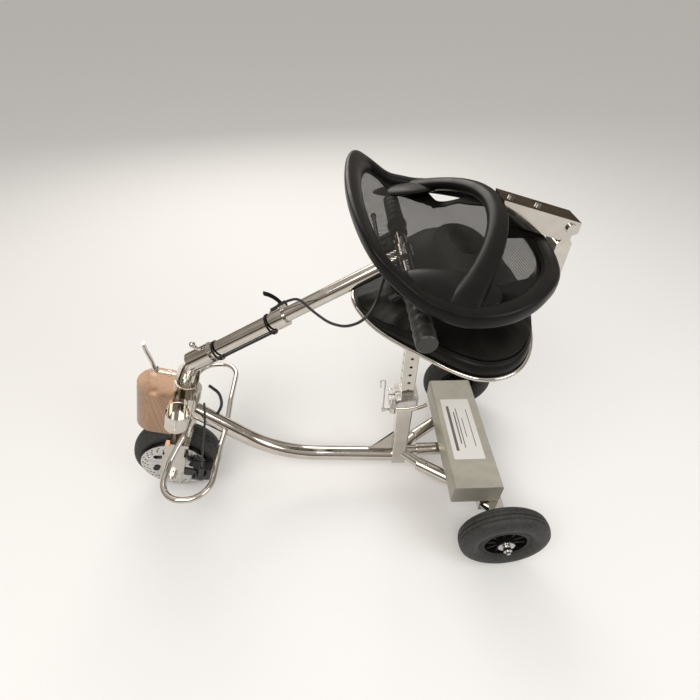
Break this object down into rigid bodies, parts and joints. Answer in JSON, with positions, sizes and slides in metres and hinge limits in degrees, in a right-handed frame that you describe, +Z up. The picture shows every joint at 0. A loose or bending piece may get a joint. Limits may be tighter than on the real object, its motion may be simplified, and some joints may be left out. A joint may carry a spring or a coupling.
{
  "type": "folding three-wheeled electric scooter",
  "caption": "Folding travel mobility scooter in its stored pose: padded seat, mesh backrest laid forward over the handlebar, front hub wheel, rear wheel pair and battery box.",
  "frame": {"origin": "on the ground in the middle plane, halfway along the machine", "axes": "+X forward, +Y to the rider's left, +Z up"},
  "size_m": [0.977, 0.5644, 0.8096],
  "materials": {
    "polished_steel": "polished",
    "bright_steel": "turned",
    "coated_can": "brushed, warm",
    "polished_steel_cup": "polished",
    "moulded_black": "smooth satin",
    "black_plastic": "fine grain",
    "black_metal": "satin black",
    "motor_core": "laminated",
    "wheel_rim": "satin black",
    "tyre_rubber": "ribbed tread",
    "grip_rubber": "matt",
    "cable_jacket": "satin",
    "seat_vinyl": "fine pebble grain",
    "back_net": "open knitted net",
    "battery_shell": "champagne anodised",
    "battery_cells": "wrapped",
    "label_film": "printed film"
  },
  "bodies": {
    "frame": {"main_frame": "polished_steel", "headset_bearings": "bright_steel", "rear_carrier": "polished_steel", "left_axle_pin": "bright_steel", "right_axle_pin": "bright_steel", "battery_case": "battery_shell", "battery_pack": "battery_cells", "battery_label": "label_film", "footrests": "polished_steel", "seat_post_collar": "black_plastic", "power_cable": "cable_jacket"},
    "left_wheel": {"left_rear_tyre": "tyre_rubber", "left_rear_rim": "wheel_rim", "left_rear_bearings": "bright_steel"},
    "right_wheel": {"right_rear_tyre": "tyre_rubber", "right_rear_rim": "wheel_rim", "right_rear_bearings": "bright_steel"},
    "steering": {"fork": "polished_steel", "front_axle": "bright_steel", "motor_stator": "motor_core", "brake_caliper": "black_metal", "controller_can": "coated_can", "accessory_cup": "polished_steel_cup", "fold_yoke": "polished_steel", "fold_pin": "bright_steel", "fork_cable": "cable_jacket"},
    "front_wheel": {"front_tyre": "tyre_rubber", "hub_motor_shell": "black_metal", "hub_motor_cover": "black_metal", "disc_rotor": "bright_steel", "rotor_bolts": "bright_steel"},
    "caliper_arm": {"caliper_arm": "black_metal"},
    "fold_lever": {"fold_lever": "black_plastic"},
    "tiller": {"lower_tiller": "polished_steel", "tiller_knuckle": "polished_steel", "telescope_collar": "bright_steel", "tiller_cable": "cable_jacket", "cable_ties": "black_plastic"},
    "telescope_lever": {"telescope_lever": "black_plastic"},
    "upper_tiller": {"upper_tiller": "polished_steel", "handlebar": "polished_steel", "left_grip": "grip_rubber", "right_grip": "grip_rubber", "control_console": "black_plastic", "brake_perch": "black_plastic", "loop_cable": "cable_jacket"},
    "brake_lever": {"brake_lever": "black_metal"},
    "thumb_throttle": {"thumb_throttle": "black_plastic"},
    "seat": {"seat_post": "polished_steel", "seat_pan": "polished_steel", "seat_trim": "polished_steel", "seat_cushion": "seat_vinyl", "back_support": "polished_steel"},
    "backrest": {"back_hinge_channel": "polished_steel", "channel_screws": "bright_steel", "back_frame": "moulded_black", "back_mesh": "back_net", "lumbar_pad": "seat_vinyl"},
    "seat_clamp_lever": {"seat_clamp_lever": "black_plastic"},
    "seat_lock_pin": {"seat_lock_pin": "bright_steel"}
  },
  "joints": [
    {"name": "left_wheel_spin", "type": "hinge", "parent": "frame", "child": "left_wheel", "pos_m": [-0.3885, 0.2427, 0.1], "axis": [0, 1, 0], "continuous": true},
    {"name": "right_wheel_spin", "type": "hinge", "parent": "frame", "child": "right_wheel", "pos_m": [-0.3885, -0.2427, 0.1], "axis": [0, 1, 0], "continuous": true},
    {"name": "steering_turn", "type": "hinge", "parent": "frame", "child": "steering", "pos_m": [0.33594, 0, 0.21997], "axis": [-0.2924, 0, 0.9563], "range_deg": [-10, 10]},
    {"name": "front_wheel_spin", "type": "hinge", "parent": "steering", "child": "front_wheel", "pos_m": [0.3825, 0, 0.106], "axis": [0, 1, 0], "continuous": true},
    {"name": "caliper_arm_pull", "type": "hinge", "parent": "steering", "child": "caliper_arm", "pos_m": [0.31455, 0.07, 0.0984], "axis": [0, -1, 0], "range_deg": [0, 18]},
    {"name": "fold_lever_open", "type": "hinge", "parent": "steering", "child": "fold_lever", "pos_m": [0.36184, 0, 0.3952], "axis": [0, 1, 0], "range_deg": [0, 75]},
    {"name": "tiller_fold", "type": "hinge", "parent": "steering", "child": "tiller", "pos_m": [0.29535, 0, 0.3801], "axis": [0, 1, 0], "range_deg": [0, 26.2]},
    {"name": "telescope_lever_open", "type": "hinge", "parent": "tiller", "child": "telescope_lever", "pos_m": [0.08196, -0.0415, 0.5325], "axis": [-0.866, 0, 0.5], "range_deg": [-70, 0]},
    {"name": "tiller_retract", "type": "slide", "parent": "tiller", "child": "upper_tiller", "axis": [0.866, 0, -0.5], "range_m": [0, 0.12]},
    {"name": "brake_squeeze", "type": "hinge", "parent": "upper_tiller", "child": "brake_lever", "pos_m": [-0.11722, -0.089, 0.6475], "axis": [0.5, 0, 0.866], "range_deg": [0, 12], "stiffness_Nm_per_rad": 1.5, "springref_deg": -8.59},
    {"name": "throttle_press", "type": "hinge", "parent": "upper_tiller", "child": "thumb_throttle", "pos_m": [-0.14753, 0, 0.665], "axis": [0, 1, 0], "range_deg": [0, 25], "stiffness_Nm_per_rad": 0.4, "springref_deg": -8.59},
    {"name": "seat_height", "type": "slide", "parent": "frame", "child": "seat", "axis": [0, 0, -1], "range_m": [0, 0.012]},
    {"name": "backrest_fold", "type": "hinge", "parent": "seat", "child": "backrest", "pos_m": [-0.4135, 0, 0.727], "axis": [0, -1, 0], "range_deg": [0, 78]},
    {"name": "seat_clamp_open", "type": "hinge", "parent": "frame", "child": "seat_clamp_lever", "pos_m": [-0.1505, 0.035, 0.295], "axis": [0, 0, 1], "range_deg": [-90, 0]},
    {"name": "seat_pin_pull", "type": "slide", "parent": "frame", "child": "seat_lock_pin", "axis": [1, 0, 0], "range_m": [0, 0.045]}
  ],
  "couplings": [
    {"joint": "tiller_fold", "follows": "backrest_fold", "ratio": 0.333},
    {"joint": "caliper_arm_pull", "follows": "brake_squeeze", "ratio": 1.5}
  ]
}
